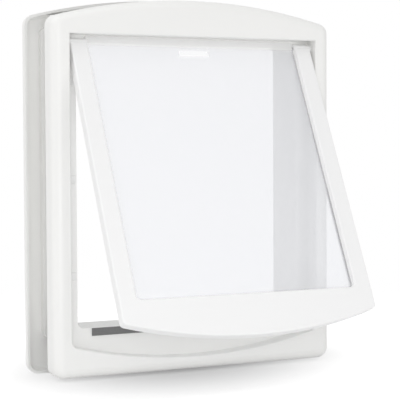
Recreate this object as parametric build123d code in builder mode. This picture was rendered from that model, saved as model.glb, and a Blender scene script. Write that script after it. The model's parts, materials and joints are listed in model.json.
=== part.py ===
from build123d import *
import os
from math import cos, radians, sin

# A pet door for a house door: an outside frame and an inside frame clamp the leaf between
# them, and a top-hung flap with a clear panel swings outwards from a recess in the outside
# frame. X is to the right, Y into the leaf, Z up, in millimetres. The origin is the middle of
# the passage, in the plane of the leaf's outside face.

# Passage and leaf
passage_width = 229.4
passage_height = 262.8
passage_corner = 6.0
leaf_gap = 37.5

# Flap, measured closed: its outline around the passage and its layers from front to back
flap_lap_side = 9.3
flap_lap_foot = 8.9
flap_bow = 17.6
arm_width = 16.5
foot_rail = 20.5
window_corner = 5.0
flap_corner_round = 4.0
border_face = 5.0
panel_thickness = 2.5
back_thickness = 2.5
border_edge_round = 1.5
back_edge_chamfer = 0.8
open_angle = 25.8

# Clear panel: what the border grips, and the raised bar and plain pad near its top edge
panel_grip = 6.0
panel_fit = 0.3
panel_rise = 7.2
bar_height = 9.0
pad_width = 31.0
pad_height = 7.5
pad_drop = 14.7
relief_height = 0.8

# Hinge: two pins fixed in the outside frame, one in each arm of the flap
hinge_drop = 4.5
pin_diameter = 4.0
pin_running_clearance = 0.05
pin_seat_clearance = 0.02
pin_inset = 0.5
pin_seat_depth = 9.0
pin_boss_size = 10.0
pin_boss_end = 1.6
knuckle_set_back = 0.9
arm_set_down = 2.0
knuckle_gap = 1.5
spacer_radius = 3.6
spacer_float = 0.4

# Outside frame: a hollow moulding with a recess for the flap and a sleeve through the leaf
flap_gap_side = 2.8
flap_gap_foot = 4.2
recess_bow = 16.8
recess_head = 3.6
recess_edge_chamfer = 0.9
rim_side = 16.2
rim_foot = 12.4
rim_crown = 33.8
outside_arch_rise = 18.9
outside_corner_flat = 1.5
outside_depth = 21.0
outside_edge_round = 9.0
outside_wall = 2.8
outside_hollow_chamfer = 4.5
ledge_thickness = 3.0
sleeve_wall = 3.0
sleeve_overlap = 1.0

# Inside frame: a shallower cover with a collar around the end of the sleeve
inside_overhang_side = 5.5
inside_overhang_foot = 2.0
inside_overhang_crown = 4.0
inside_arch_rise = 19.5
inside_corner_flat = 5.0
inside_depth = 11.5
inside_edge_round = 6.0
inside_wall = 2.5
inside_hollow_chamfer = 2.6
collar_wall = 2.5
collar_clearance = 0.5
collar_edge_chamfer = 1.2
rib_margin_side = 11.8
rib_margin_end = 8.5
rib_wall = 2.5
rib_corner = 5.5

# Fixing screws from the inside frame into bosses of the outside frame
screw_outset = 0.3
screw_rise_head = 12.2
screw_drop_foot = 29.6
screw_diameter = 5.0
screw_clearance = 0.05
screw_bite = 13.0
screw_run_out = 1.0
screw_boss_size = 10.0
screw_head_diameter = 9.5
screw_head_height = 3.0
screw_seat = 6.5
shank_clearance = 0.25
inside_boss_wall = 2.2
cap_diameter = 12.5
cap_clearance = 0.1
cap_thickness = 1.8

# Closing: bumpers and a magnet strip on the ledge, and a magnet inside the flap's foot
pad_rise = 1.2
closing_gap = 0.3
bumper_width = 6.0
bumper_height = 7.5
bumper_inset = 1.3
bumper_pitch = 88.0
bumper_middle = 4.5
bumper_edge_chamfer = 0.5
strip_length = 202.0
strip_height = 7.0
strip_drop = 0.3
magnet_length = 190.0
magnet_thickness = 2.0
magnet_fit = 0.2

# Places that follow from the sizes above
passage_half = passage_width / 2
passage_top = passage_height / 2
flap_half = passage_half + flap_lap_side
window_half = flap_half - arm_width
recess_half = flap_half + flap_gap_side
recess_top = passage_top + recess_head
recess_corner = flap_corner_round + flap_gap_side
flap_corner_z = -passage_top - flap_lap_foot
flap_foot_z = flap_corner_z - flap_bow
recess_foot_z = flap_foot_z - flap_gap_foot
outside_half = recess_half + rim_side
outside_corner = outside_edge_round + outside_corner_flat
outside_foot = recess_foot_z - rim_foot
outside_crown = recess_top + rim_crown
sleeve_length = leaf_gap + sleeve_overlap
inside_half = outside_half + inside_overhang_side
inside_corner = inside_edge_round + inside_corner_flat
inside_foot = outside_foot - inside_overhang_foot
inside_crown = outside_crown + inside_overhang_crown
inside_face = leaf_gap + inside_depth
collar_gap = sleeve_wall + collar_clearance
layers_behind_axis = panel_thickness + back_thickness
hinge_y = -(ledge_thickness + pad_rise + closing_gap + layers_behind_axis)
hinge_z = passage_top - hinge_drop
hinge_axis = Axis((0, hinge_y, hinge_z), (1, 0, 0))
knuckle_radius = border_face - knuckle_set_back
inside_boss_size = cap_diameter + 2 * (cap_clearance + inside_boss_wall)
screw_x = passage_half + screw_outset
screw_places = [
    (side * screw_x, z)
    for side in (-1, 1)
    for z in (recess_top + screw_rise_head, -passage_top - screw_drop_foot)
]
strip_z = -passage_top - strip_drop - strip_height / 2
bumper_x = passage_half + bumper_inset + bumper_width / 2
side_names = {-1: "left", 1: "right"}

# The flap is drawn on its own plane through the hinge axis, which looks out of its front face
flap_tilt = radians(open_angle)
flap_plane = Plane((0, hinge_y, hinge_z), x_dir=(1, 0, 0), z_dir=(0, -cos(flap_tilt), sin(flap_tilt)))
flap_corner = flap_corner_z - hinge_z
window_foot = flap_corner + foot_rail
panel_foot = window_foot - panel_grip
arm_end = -knuckle_radius - knuckle_gap
strip_on_flap = strip_z - hinge_z


def front_view(y):
    """Plane that looks at the outside of the leaf, at depth y; it extrudes towards the viewer."""
    return Plane.XZ.offset(-y)


def arched(half_width, foot, crown, rise, corner):
    """Outline with a straight foot, straight sides and a shallow arch on top."""
    shoulder = crown - rise
    with BuildSketch() as outline:
        with BuildLine():
            Polyline(
                (half_width, shoulder), (half_width, foot), (-half_width, foot), (-half_width, shoulder)
            )
            ThreePointArc((-half_width, shoulder), (0, crown), (half_width, shoulder))
        make_face()
        fillet(outline.vertices(), corner)
    return outline.sketch


def bowed(half_width, top, side_foot, bow, corner):
    """Outline with a straight top and sides and a lower edge that bows down in the middle."""
    with BuildSketch() as outline:
        with BuildLine():
            Polyline(
                (half_width, side_foot), (half_width, top), (-half_width, top), (-half_width, side_foot)
            )
            ThreePointArc((-half_width, side_foot), (0, side_foot - bow), (half_width, side_foot))
        make_face()
        fillet(outline.vertices().group_by(Axis.Y)[0], corner)
    return outline.sketch


def flap_outline(top):
    """The border's outline on the flap's plane, open at the top between its two arms."""
    with BuildSketch() as outline:
        add(bowed(flap_half, top, flap_corner, flap_bow, flap_corner_round))
        RectangleRounded(2 * window_half, -2 * window_foot, window_corner, mode=Mode.SUBTRACT)
    return outline.sketch


# Outside frame
with BuildPart() as outside_frame:
    with BuildSketch(front_view(0)):
        add(arched(outside_half, outside_foot, outside_crown, outside_arch_rise, outside_corner))
    extrude(amount=outside_depth)
    fillet(outside_frame.faces().sort_by(Axis.Y)[0].edges(), outside_edge_round)
    with BuildSketch(front_view(0)):
        add(arched(outside_half, outside_foot, outside_crown, outside_arch_rise, outside_corner))
        offset(amount=-outside_wall)
    extrude(amount=outside_depth - outside_wall, mode=Mode.SUBTRACT)
    outside_ceiling = outside_frame.faces().filter_by(Axis.Y).sort_by(Axis.Y)[1]
    chamfer(outside_ceiling.edges(), outside_hollow_chamfer)
    # Walls and floor of the recess that takes the flap
    with BuildSketch(front_view(0)):
        add(
            bowed(
                recess_half + outside_wall,
                recess_top + outside_wall,
                recess_foot_z + recess_bow - outside_wall,
                recess_bow,
                recess_corner + outside_wall,
            )
        )
    extrude(amount=outside_depth - outside_wall)
    # Bosses behind the recess for the hinge pins and the fixing screws
    for side in (-1, 1):
        with BuildSketch(Plane.YZ.offset(side * recess_half)):
            with Locations((hinge_y, hinge_z)):
                Rectangle(pin_boss_size, pin_boss_size)
        extrude(amount=side * (pin_seat_depth + pin_boss_end))
    with BuildSketch(front_view(0)):
        with Locations(*screw_places):
            Rectangle(screw_boss_size, screw_boss_size)
    extrude(amount=outside_depth - outside_wall)
    # The recess, open to the front
    with BuildSketch(front_view(-ledge_thickness)):
        add(bowed(recess_half, recess_top, recess_foot_z + recess_bow, recess_bow, recess_corner))
    extrude(amount=outside_depth, mode=Mode.SUBTRACT)
    chamfer(outside_frame.faces().sort_by(Axis.Y)[0].inner_wires()[0].edges(), recess_edge_chamfer)
    # Sleeve through the leaf
    with BuildSketch(front_view(sleeve_length)):
        RectangleRounded(
            passage_width + 2 * sleeve_wall,
            passage_height + 2 * sleeve_wall,
            passage_corner + sleeve_wall,
        )
    extrude(amount=sleeve_length)
    with BuildSketch(front_view(sleeve_length)):
        RectangleRounded(passage_width, passage_height, passage_corner)
    extrude(amount=sleeve_length + outside_depth, mode=Mode.SUBTRACT)
    # Seats of the hinge pins and pilot holes of the fixing screws
    for side in (-1, 1):
        with BuildSketch(Plane.YZ.offset(side * recess_half)):
            with Locations((hinge_y, hinge_z)):
                Circle(pin_diameter / 2 + pin_seat_clearance)
        extrude(amount=side * pin_seat_depth, mode=Mode.SUBTRACT)
    with BuildSketch(front_view(0)):
        with Locations(*screw_places):
            Circle(screw_diameter / 2 + screw_clearance)
    extrude(amount=screw_bite + screw_run_out, mode=Mode.SUBTRACT)

# Inside frame
with BuildPart() as inside_frame:
    with BuildSketch(front_view(inside_face)):
        add(arched(inside_half, inside_foot, inside_crown, inside_arch_rise, inside_corner))
    extrude(amount=inside_depth)
    fillet(inside_frame.faces().sort_by(Axis.Y)[-1].edges(), inside_edge_round)
    with BuildSketch(front_view(inside_face - inside_wall)):
        add(arched(inside_half, inside_foot, inside_crown, inside_arch_rise, inside_corner))
        offset(amount=-inside_wall)
    extrude(amount=inside_depth - inside_wall, mode=Mode.SUBTRACT)
    inside_ceiling = inside_frame.faces().filter_by(Axis.Y).sort_by(Axis.Y)[1]
    chamfer(inside_ceiling.edges(), inside_hollow_chamfer)
    # Rib that bears on the leaf around the cut-out
    with BuildSketch(front_view(inside_face - inside_wall)):
        RectangleRounded(
            passage_width + 2 * (sleeve_wall + rib_margin_side + rib_wall),
            passage_height + 2 * (sleeve_wall + rib_margin_end + rib_wall),
            rib_corner + rib_wall,
        )
        RectangleRounded(
            passage_width + 2 * (sleeve_wall + rib_margin_side),
            passage_height + 2 * (sleeve_wall + rib_margin_end),
            rib_corner,
            mode=Mode.SUBTRACT,
        )
    extrude(amount=inside_depth - inside_wall)
    # Collar around the end of the sleeve, and the opening through it
    with BuildSketch(front_view(inside_face - inside_wall)):
        RectangleRounded(
            passage_width + 2 * (collar_gap + collar_wall),
            passage_height + 2 * (collar_gap + collar_wall),
            passage_corner + collar_gap + collar_wall,
        )
    extrude(amount=inside_depth - inside_wall)
    with BuildSketch(front_view(inside_face)):
        RectangleRounded(
            passage_width + 2 * collar_gap,
            passage_height + 2 * collar_gap,
            passage_corner + collar_gap,
        )
    extrude(amount=inside_depth, mode=Mode.SUBTRACT)
    chamfer(inside_frame.faces().sort_by(Axis.Y)[-1].inner_wires()[0].edges(), collar_edge_chamfer)
    # Bosses for the fixing screws, each with a seat that holds the head and the cap over it
    with BuildSketch(front_view(inside_face - inside_wall)):
        with Locations(*screw_places):
            Rectangle(inside_boss_size, inside_boss_size)
    extrude(amount=inside_depth - inside_wall)
    with BuildSketch(front_view(inside_face)):
        with Locations(*screw_places):
            Circle(cap_diameter / 2 + cap_clearance)
    extrude(amount=inside_depth - screw_seat, mode=Mode.SUBTRACT)
    with BuildSketch(front_view(inside_face)):
        with Locations(*screw_places):
            Circle(screw_diameter / 2 + shank_clearance)
    extrude(amount=inside_depth, mode=Mode.SUBTRACT)

# Fixing screws, four separate solids
with BuildPart() as fixing_screws:
    with BuildSketch(front_view(leaf_gap + screw_seat)):
        with Locations(*screw_places):
            Circle(screw_diameter / 2)
    extrude(amount=leaf_gap + screw_seat + screw_bite)
    with BuildSketch(front_view(leaf_gap + screw_seat + screw_head_height)):
        with Locations(*screw_places):
            Circle(screw_head_diameter / 2)
    extrude(amount=screw_head_height)

# Flap border, front half, with the knuckles that turn on the hinge pins
with BuildPart() as flap_border:
    with BuildSketch(flap_plane.offset(-panel_thickness)):
        add(flap_outline(-arm_set_down))
    extrude(amount=panel_thickness + border_face)
    up_the_flap = Axis(flap_plane.origin, flap_plane.y_dir)
    out_of_flap = Axis(flap_plane.origin, flap_plane.z_dir)
    front_edges = flap_border.faces().sort_by(out_of_flap)[-1].edges()
    fillet(front_edges.sort_by(up_the_flap)[:-2], border_edge_round)
    for side in (-1, 1):
        with BuildSketch(Plane((0, hinge_y, hinge_z), x_dir=(1, 0, 0), z_dir=(0, 0, 1))):
            with Locations((side * (window_half + flap_half) / 2, 0)):
                Rectangle(arm_width, knuckle_radius, align=(Align.CENTER, Align.MIN))
            with Locations((side * flap_half, 0)):
                Rectangle(
                    2 * (flap_gap_side - spacer_float),
                    spacer_radius,
                    align=(Align.CENTER, Align.MIN),
                )
        revolve(axis=hinge_axis)
        with BuildSketch(Plane.YZ.offset(side * window_half)):
            with Locations((hinge_y, hinge_z)):
                Circle(pin_diameter / 2 + pin_running_clearance)
        extrude(amount=side * (recess_half - window_half), mode=Mode.SUBTRACT)
    # Pocket for the panel's edges, and one for the magnet
    with BuildSketch(flap_plane.offset(-panel_thickness)):
        with Locations((0, panel_foot - panel_fit)):
            Rectangle(
                2 * (window_half + panel_grip + panel_fit),
                arm_end - panel_foot + panel_fit,
                align=(Align.CENTER, Align.MIN),
            )
    extrude(amount=panel_thickness, mode=Mode.SUBTRACT)
    with BuildSketch(flap_plane.offset(-panel_thickness)):
        with Locations((0, strip_on_flap)):
            Rectangle(magnet_length + 2 * magnet_fit, strip_height + 2 * magnet_fit)
    extrude(amount=magnet_thickness, mode=Mode.SUBTRACT)

# Clear panel, narrower between the knuckles
with BuildPart() as flap_panel:
    with BuildSketch(flap_plane.offset(-panel_thickness)):
        with Locations((0, panel_foot)):
            Rectangle(
                2 * (window_half + panel_grip),
                arm_end - panel_fit - panel_foot,
                align=(Align.CENTER, Align.MIN),
            )
            Rectangle(
                2 * (window_half - panel_fit),
                panel_rise - panel_foot,
                align=(Align.CENTER, Align.MIN),
            )
    extrude(amount=panel_thickness)
    with BuildSketch(flap_plane):
        with Locations((0, panel_rise - bar_height / 2)):
            Rectangle(2 * (window_half - panel_fit), bar_height)
        with Locations((0, panel_rise - pad_drop)):
            Rectangle(pad_width, pad_height)
    extrude(amount=relief_height)

# Flap border, back half
with BuildPart() as flap_back:
    with BuildSketch(flap_plane.offset(-layers_behind_axis)):
        add(flap_outline(arm_end))
    extrude(amount=back_thickness)
    chamfer(flap_back.faces().sort_by(out_of_flap)[0].edges(), back_edge_chamfer)

# Magnet inside the flap's foot
with BuildPart() as flap_magnet:
    with BuildSketch(flap_plane.offset(-panel_thickness)):
        with Locations((0, strip_on_flap)):
            Rectangle(magnet_length, strip_height)
    extrude(amount=magnet_thickness - magnet_fit)

# Magnet strip on the ledge, under the floor of the passage
with BuildPart() as threshold_strip:
    with BuildSketch(front_view(-ledge_thickness)):
        with Locations((0, strip_z)):
            Rectangle(strip_length, strip_height)
    extrude(amount=pad_rise)

named_pieces = {
    "outside_frame": outside_frame,
    "inside_frame": inside_frame,
    "fixing_screws": fixing_screws,
    "flap_border": flap_border,
    "flap_back": flap_back,
    "flap_panel": flap_panel,
    "flap_magnet": flap_magnet,
    "threshold_strip": threshold_strip,
}

# Hinge pins, one on each side
for side, side_name in side_names.items():
    with BuildPart() as hinge_pin:
        with BuildSketch(Plane.YZ.offset(side * (window_half + pin_inset))):
            with Locations((hinge_y, hinge_z)):
                Circle(pin_diameter / 2)
        extrude(amount=side * (recess_half + pin_seat_depth - window_half - pin_inset))
    named_pieces[f"hinge_pin_{side_name}"] = hinge_pin

# Bumpers that the closed flap rests on, three on each side of the ledge
for side, side_name in side_names.items():
    for step, step_name in ((1, "upper"), (0, "middle"), (-1, "lower")):
        with BuildPart() as bumper:
            with BuildSketch(front_view(-ledge_thickness)):
                with Locations((side * bumper_x, bumper_middle + step * bumper_pitch)):
                    Rectangle(bumper_width, bumper_height)
            extrude(amount=pad_rise)
            chamfer(bumper.faces().sort_by(Axis.Y)[0].edges(), bumper_edge_chamfer)
        named_pieces[f"bumper_{side_name}_{step_name}"] = bumper

# Caps that cover the fixing screws on the inside frame
for place_x, place_z in screw_places:
    with BuildPart() as cap:
        with BuildSketch(front_view(inside_face)):
            with Locations((place_x, place_z)):
                Circle(cap_diameter / 2)
        extrude(amount=cap_thickness)
    level_name = "top" if place_z > 0 else "foot"
    side_name = "left" if place_x < 0 else "right"
    named_pieces[f"screw_cap_{level_name}_{side_name}"] = cap

os.makedirs("parts", exist_ok=True)
for piece_name, piece in named_pieces.items():
    piece.part.label = piece_name
    export_step(piece.part, f"parts/{piece_name}.step")
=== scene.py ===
import json
from math import cos, pi, radians, sin

import bpy
from mathutils import Matrix, Vector


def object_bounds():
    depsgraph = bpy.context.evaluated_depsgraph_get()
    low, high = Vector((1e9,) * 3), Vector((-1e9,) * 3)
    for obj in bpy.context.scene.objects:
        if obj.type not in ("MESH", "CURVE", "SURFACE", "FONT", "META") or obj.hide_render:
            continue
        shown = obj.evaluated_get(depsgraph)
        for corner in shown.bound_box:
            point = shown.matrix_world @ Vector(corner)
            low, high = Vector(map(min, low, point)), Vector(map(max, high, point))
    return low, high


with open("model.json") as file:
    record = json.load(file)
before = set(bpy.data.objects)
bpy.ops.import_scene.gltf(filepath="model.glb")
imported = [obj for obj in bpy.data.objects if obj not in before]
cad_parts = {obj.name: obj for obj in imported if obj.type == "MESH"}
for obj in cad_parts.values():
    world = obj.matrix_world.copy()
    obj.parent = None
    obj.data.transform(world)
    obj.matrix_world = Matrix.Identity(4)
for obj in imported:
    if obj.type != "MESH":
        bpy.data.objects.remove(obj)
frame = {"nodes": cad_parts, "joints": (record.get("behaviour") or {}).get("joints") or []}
cad_low, cad_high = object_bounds()

# Camera, in metres and degrees: it stands to the left of the door and looks slightly down
VIEW_YAW = 26.4567
VIEW_PITCH = 2.4574
VIEW_ROLL = -0.2821
CAMERA_PLACE = (-0.5726, -1.1737, 0.039)
LENS_MM = 124.5605
SENSOR_MM = 36.0

# Light: watts for the lamps, plain levels for the world's light and for the backdrop
WORLD_LEVEL = 0.565
BACKGROUND_LEVEL = 1.0
LIGHT_WHITE = (1, 1, 1, 1)
LAMPS = {
    # name: (place, aimed at, size, watts)
    "camera_softbox": ((-0.57, -1.25, 0.0), (0, 0, 0), 0.5, 4.3),
    "right_fill": ((0.8, -1.1, -0.1), (0, 0, -0.1), 0.6, 2.0),
    "left_back_softbox": ((-1.4, 0.3, 0.1), (0, 0, 0), 1.0, 1.6),
    "top_softbox": ((-0.2, -0.3, 1.6), (0, 0, 0), 1.2, 2.2),
    "top_left_softbox": ((-0.9, 0.0, 1.2), (0, 0, 0), 1.0, 4.1),
}

# Floor, in metres: a disc just under the door that fades out between two radii
FLOOR_RADIUS = 1.2
FLOOR_SOLID_RADIUS = 0.38
FLOOR_FADE_RADIUS = 0.75
FLOOR_SEGMENTS = 64
FLOOR_DROP = 0.0002
FLOOR_ROUGHNESS = 0.9
# It throws light back as a white floor does, and is darker to the eye, where its glow adds the rest
FLOOR_WHITE = (0.9, 0.9, 0.9)
FLOOR_SEEN = (0.3, 0.3, 0.3)
# Painted shadow on the floor: the glow is weak in the middle of a circle that leans to one side, and full
# from its rim on
PAINTED_SHADOW_MIDDLE = (0.0045, 0.04, 0)
PAINTED_SHADOW_LEAN = 0.325
PAINTED_SHADOW_RADIUS = 0.272
GLOW_IN_PAINTED_SHADOW = 0.26
GLOW_OUT_OF_PAINTED_SHADOW = 1.0

# Finishes
FRAME_WHITE = (0.94, 0.939, 0.924)
FLAP_WHITE = (0.945, 0.945, 0.945)
PLASTIC_SPECULAR = 0.45
MAGNET_GREY = (0.19, 0.19, 0.19)
BUMPER_WHITE = (0.9, 0.9, 0.89)
ZINC_GREY = (0.62, 0.62, 0.63)
# Middle part of a noise's values, over which roughness runs from low to high
NOISE_LOW = 0.3
NOISE_HIGH = 0.7

# Clear panel: its haze is the share of its own colour that shows, 0 for none and 1 for a solid piece
CLEAR_TINT = (0.91, 0.92, 0.965)
CLEAR_HAZE = 0.3
CLEAR_ROUGHNESS = 0.12
CLEAR_IOR = 1.49
FROST_WHITE = (0.97, 0.97, 0.97)
FROST_HAZE = 0.45
PAD_CLEARING = 0.7
# Boxes of the clear part and of the plain pad, in metres across and up the flap from its hinge axis
CLEAR_MIDDLE = (0, -0.12425)
CLEAR_HALF = (0.1068, 0.12245)
PAD_MIDDLE = (0, -0.0075)
PAD_HALF = (0.0155, 0.00375)


def new_material(name):
    """A material with a Principled shader; returns the material, its nodes, its links and the shader."""
    material = bpy.data.materials.new(name)
    material.use_nodes = True
    nodes = material.node_tree.nodes
    return material, nodes, material.node_tree.links, nodes["Principled BSDF"]


def math_step(nodes, links, operation, first, second):
    """Output socket of one operation on two sockets, or on a socket and a number."""
    step = nodes.new("ShaderNodeMath")
    step.operation = operation
    for place, value in enumerate((first, second)):
        if isinstance(value, (int, float)):
            step.inputs[place].default_value = value
        else:
            links.new(value, step.inputs[place])
    return step.outputs[0]


def vector_steps(nodes, links, socket, steps):
    """Output socket after a chain of vector operations, each with its own constant or none."""
    for operation, value in steps:
        step = nodes.new("ShaderNodeVectorMath")
        step.operation = operation
        links.new(socket, step.inputs[0])
        if value is not None:
            step.inputs[1].default_value = value
        socket = step.outputs["Vector"]
    return socket


def vector_length(nodes, links, socket):
    """Output socket with the length of a vector."""
    measure = nodes.new("ShaderNodeVectorMath")
    measure.operation = "LENGTH"
    links.new(socket, measure.inputs[0])
    return measure.outputs["Value"]


def ramp(nodes, links, socket, low, high, start=0.0, end=1.0, smooth=False):
    """Output socket that runs from low to high while the input runs from start to end."""
    step = nodes.new("ShaderNodeMapRange")
    if smooth:
        step.interpolation_type = "SMOOTHSTEP"
    step.inputs["From Min"].default_value = start
    step.inputs["From Max"].default_value = end
    step.inputs["To Min"].default_value = low
    step.inputs["To Max"].default_value = high
    links.new(socket, step.inputs["Value"])
    return step.outputs["Result"]


def blend_colours(nodes, links, factor, first, second):
    """Output socket with the first colour where the factor is 0 and the second where it is 1."""
    mix = nodes.new("ShaderNodeMix")
    mix.data_type = "RGBA"
    mix.inputs["A"].default_value = (*first, 1)
    mix.inputs["B"].default_value = (*second, 1)
    links.new(factor, mix.inputs["Factor"])
    return mix.outputs["Result"]


def flat_place(nodes, links, across, along, origin):
    """Output socket with a point's two measures along the given directions, in metres from an origin."""
    place = nodes.new("ShaderNodeTexCoord")
    from_origin = vector_steps(nodes, links, place.outputs["Object"], (("SUBTRACT", origin),))
    flat = nodes.new("ShaderNodeCombineXYZ")
    for axis, direction in (("X", across), ("Y", along)):
        measure = nodes.new("ShaderNodeVectorMath")
        measure.operation = "DOT_PRODUCT"
        measure.inputs[1].default_value = direction
        links.new(from_origin, measure.inputs[0])
        links.new(measure.outputs["Value"], flat.inputs[axis])
    return flat.outputs["Vector"]


def outside_box(nodes, links, place, middle, half):
    """Output socket that is 1 outside a flat box and 0 inside it."""
    steps = (("SUBTRACT", (*middle, 0)), ("ABSOLUTE", None), ("SUBTRACT", (*half, 0)))
    split = nodes.new("ShaderNodeSeparateXYZ")
    links.new(vector_steps(nodes, links, place, steps), split.inputs[0])
    furthest = math_step(nodes, links, "MAXIMUM", split.outputs["X"], split.outputs["Y"])
    return math_step(nodes, links, "GREATER_THAN", furthest, 0)


def light_path_mask(nodes, links):
    """Output socket that is 1 for rays from the camera, a reflection or a clear piece, and 0 for light."""
    rays = nodes.new("ShaderNodeLightPath").outputs
    direct = math_step(nodes, links, "MAXIMUM", rays["Is Camera Ray"], rays["Is Glossy Ray"])
    return math_step(nodes, links, "MAXIMUM", direct, rays["Is Transmission Ray"])


def add_noise(nodes, links, scale, detail=2.0, stretch=(1, 1, 1)):
    """Output socket with noise over the object's own metres; scale counts the grains in a metre."""
    place = nodes.new("ShaderNodeTexCoord")
    mapping = nodes.new("ShaderNodeMapping")
    mapping.inputs["Scale"].default_value = stretch
    noise = nodes.new("ShaderNodeTexNoise")
    noise.inputs["Scale"].default_value = scale
    noise.inputs["Detail"].default_value = detail
    links.new(place.outputs["Object"], mapping.inputs["Vector"])
    links.new(mapping.outputs["Vector"], noise.inputs["Vector"])
    return noise.outputs["Fac"]


def vary_colour(nodes, links, shader, colour, share, scale):
    """Base colour that drifts a little, darker by share at the noise's low end."""
    noise = add_noise(nodes, links, scale)
    darker = [channel * (1 - share) for channel in colour]
    links.new(blend_colours(nodes, links, noise, darker, colour), shader.inputs["Base Color"])


def vary_roughness(nodes, links, shader, low, high, scale, stretch=(1, 1, 1)):
    """Roughness that runs between two values over a slow noise."""
    noise = add_noise(nodes, links, scale, stretch=stretch)
    links.new(ramp(nodes, links, noise, low, high, NOISE_LOW, NOISE_HIGH), shader.inputs["Roughness"])


def add_grain(nodes, links, shader, scale, height, strength, detail=3.0, stretch=(1, 1, 1)):
    """Fine bump of the given height in metres."""
    bump = nodes.new("ShaderNodeBump")
    bump.inputs["Strength"].default_value = strength
    bump.inputs["Distance"].default_value = height
    links.new(add_noise(nodes, links, scale, detail, stretch), bump.inputs["Height"])
    links.new(bump.outputs["Normal"], shader.inputs["Normal"])


def moulded_plastic(name, colour, rough_low, rough_high, grain_height):
    """White injection-moulded plastic with a fine spark-eroded grain."""
    material, nodes, links, shader = new_material(name)
    vary_colour(nodes, links, shader, colour, share=0.015, scale=9.0)
    vary_roughness(nodes, links, shader, rough_low, rough_high, scale=22.0)
    add_grain(nodes, links, shader, scale=1900.0, height=grain_height, strength=0.35)
    shader.inputs["Specular IOR Level"].default_value = PLASTIC_SPECULAR
    return material


def clear_plastic(name):
    """Clear sheet, slightly wavy as a moulding is, with frosted edges and bar and a clearer pad."""
    material, nodes, links, shader = new_material(name)
    # The hinge's lower limit closes the flap, so the flap is stored open by that angle
    hinge = frame["joints"][0]
    opened = radians(-hinge["range_deg"][0])
    place = flat_place(nodes, links, (1, 0, 0), (0, sin(opened), cos(opened)), hinge["pos_m"])
    edges = outside_box(nodes, links, place, CLEAR_MIDDLE, CLEAR_HALF)
    off_pad = outside_box(nodes, links, place, PAD_MIDDLE, PAD_HALF)
    links.new(blend_colours(nodes, links, edges, CLEAR_TINT, FROST_WHITE), shader.inputs["Base Color"])
    haze = ramp(nodes, links, edges, CLEAR_HAZE, FROST_HAZE)
    cleared = ramp(nodes, links, off_pad, 1 - PAD_CLEARING, 1.0)
    links.new(math_step(nodes, links, "MULTIPLY", haze, cleared), shader.inputs["Alpha"])
    shader.inputs["IOR"].default_value = CLEAR_IOR
    shader.inputs["Roughness"].default_value = CLEAR_ROUGHNESS
    add_grain(nodes, links, shader, scale=14.0, height=0.0004, strength=0.15, detail=1.0)
    return material


def magnet_strip(name):
    """Flexible dark grey magnet with a dull, slightly speckled face."""
    material, nodes, links, shader = new_material(name)
    vary_colour(nodes, links, shader, MAGNET_GREY, share=0.18, scale=900.0)
    vary_roughness(nodes, links, shader, low=0.5, high=0.68, scale=120.0)
    add_grain(nodes, links, shader, scale=2600.0, height=0.00004, strength=0.5)
    return material


def soft_rubber(name):
    """Soft white rubber of the bumpers."""
    material, nodes, links, shader = new_material(name)
    vary_colour(nodes, links, shader, BUMPER_WHITE, share=0.02, scale=300.0)
    vary_roughness(nodes, links, shader, low=0.4, high=0.55, scale=200.0)
    add_grain(nodes, links, shader, scale=2200.0, height=0.00002, strength=0.3)
    return material


def zinc_steel(name):
    """Zinc-plated steel with fine marks drawn out along X and Y."""
    material, nodes, links, shader = new_material(name)
    shader.inputs["Metallic"].default_value = 1.0
    vary_colour(nodes, links, shader, ZINC_GREY, share=0.12, scale=240.0)
    vary_roughness(nodes, links, shader, low=0.26, high=0.42, scale=420.0, stretch=(1, 1, 6))
    add_grain(nodes, links, shader, scale=1500.0, height=0.00002, strength=0.3, stretch=(1, 1, 5))
    return material


def floor_with_painted_shadow(name):
    """White floor with a painted soft shadow under the object, which fades into the backdrop further out.
    """
    material, nodes, links, shader = new_material(name)
    seen = light_path_mask(nodes, links)
    links.new(blend_colours(nodes, links, seen, FLOOR_WHITE, FLOOR_SEEN), shader.inputs["Base Color"])
    shader.inputs["Roughness"].default_value = FLOOR_ROUGHNESS
    shader.inputs["Specular IOR Level"].default_value = 0.0
    # Painted shadow: the glow the floor shows to the eye is weaker near the middle of a circle that leans
    # to one side
    painted_shadow_place = flat_place(nodes, links, (1, -PAINTED_SHADOW_LEAN, 0), (0, 1, 0), PAINTED_SHADOW_MIDDLE)
    from_painted_shadow_middle = vector_length(nodes, links, painted_shadow_place)
    glow_with_painted_shadow = ramp(nodes, links, from_painted_shadow_middle, GLOW_IN_PAINTED_SHADOW, GLOW_OUT_OF_PAINTED_SHADOW, end=PAINTED_SHADOW_RADIUS, smooth=True)
    shader.inputs["Emission Color"].default_value = LIGHT_WHITE
    links.new(math_step(nodes, links, "MULTIPLY", seen, glow_with_painted_shadow), shader.inputs["Emission Strength"])
    place = nodes.new("ShaderNodeTexCoord")
    reach = vector_length(nodes, links, place.outputs["Object"])
    fade = ramp(nodes, links, reach, 1.0, 0.0, FLOOR_SOLID_RADIUS, FLOOR_FADE_RADIUS, smooth=True)
    links.new(fade, shader.inputs["Alpha"])
    return material


def dress(material, *beginnings):
    """Gives one material to the CAD nodes whose names begin with one of the given words."""
    for name, node in frame["nodes"].items():
        if name.startswith(beginnings):
            node.data.materials.clear()
            node.data.materials.append(material)


def build_world():
    """White backdrop to the eye, and a plain level of light on the object."""
    world = bpy.data.worlds.new("studio")
    bpy.context.scene.world = world
    world.use_nodes = True
    nodes, links = world.node_tree.nodes, world.node_tree.links
    background = nodes["Background"]
    background.inputs["Color"].default_value = LIGHT_WHITE
    level = ramp(nodes, links, light_path_mask(nodes, links), WORLD_LEVEL, BACKGROUND_LEVEL)
    links.new(level, background.inputs["Strength"])


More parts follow.
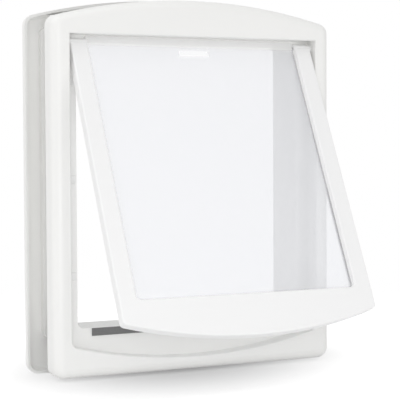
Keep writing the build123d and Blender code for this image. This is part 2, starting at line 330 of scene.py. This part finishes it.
def build_floor():
    """Round floor just under the object."""
    mesh = bpy.data.meshes.new("floor")
    rim = [2 * pi * step / FLOOR_SEGMENTS for step in range(FLOOR_SEGMENTS)]
    height = cad_low.z - FLOOR_DROP
    corners = [(FLOOR_RADIUS * cos(turn), FLOOR_RADIUS * sin(turn), height) for turn in rim]
    mesh.from_pydata(corners, [], [range(FLOOR_SEGMENTS)])
    mesh.materials.append(floor_with_painted_shadow("floor_white_painted_shadow"))
    floor = bpy.data.objects.new("floor", mesh)
    bpy.context.scene.collection.objects.link(floor)


def build_lamps():
    """Large soft lamps."""
    for name, (place, target, size, watts) in LAMPS.items():
        lamp = bpy.data.lights.new(name, "AREA")
        lamp.shape = "SQUARE"
        lamp.size = size
        lamp.energy = watts
        holder = bpy.data.objects.new(name, lamp)
        holder.location = place
        holder.rotation_euler = (Vector(target) - Vector(place)).to_track_quat("-Z", "Y").to_euler()
        bpy.context.scene.collection.objects.link(holder)


def build_camera():
    """Camera at the photograph's viewing angle."""
    yaw, pitch, roll = radians(VIEW_YAW), radians(VIEW_PITCH), radians(VIEW_ROLL)
    forward = Vector((sin(yaw) * cos(pitch), cos(yaw) * cos(pitch), -sin(pitch)))
    level_right = Vector((cos(yaw), -sin(yaw), 0))
    level_up = level_right.cross(forward)
    right = cos(roll) * level_right + sin(roll) * level_up
    up = cos(roll) * level_up - sin(roll) * level_right
    turn = Matrix((right, up, -forward)).transposed()
    data = bpy.data.cameras.new("camera")
    data.lens = LENS_MM
    data.sensor_width = SENSOR_MM
    camera = bpy.data.objects.new("camera", data)
    camera.matrix_world = Matrix.Translation(CAMERA_PLACE) @ turn.to_4x4()
    bpy.context.scene.collection.objects.link(camera)
    bpy.context.scene.camera = camera


frame_plastic = moulded_plastic(
    "frame_plastic", FRAME_WHITE, rough_low=0.34, rough_high=0.46, grain_height=0.00003
)
flap_plastic = moulded_plastic(
    "flap_plastic", FLAP_WHITE, rough_low=0.3, rough_high=0.4, grain_height=0.00002
)
dress(frame_plastic, "outside_frame", "inside_frame", "screw_cap")
dress(flap_plastic, "flap_border", "flap_back")
dress(clear_plastic("clear_plastic"), "flap_panel")
dress(magnet_strip("magnet_strip"), "threshold_strip", "flap_magnet")
dress(soft_rubber("bumper_rubber"), "bumper")
dress(zinc_steel("zinc_steel"), "hinge_pin", "fixing_screws")

build_world()
build_floor()
build_lamps()
build_camera()
bpy.context.scene.view_settings.view_transform = "Standard"
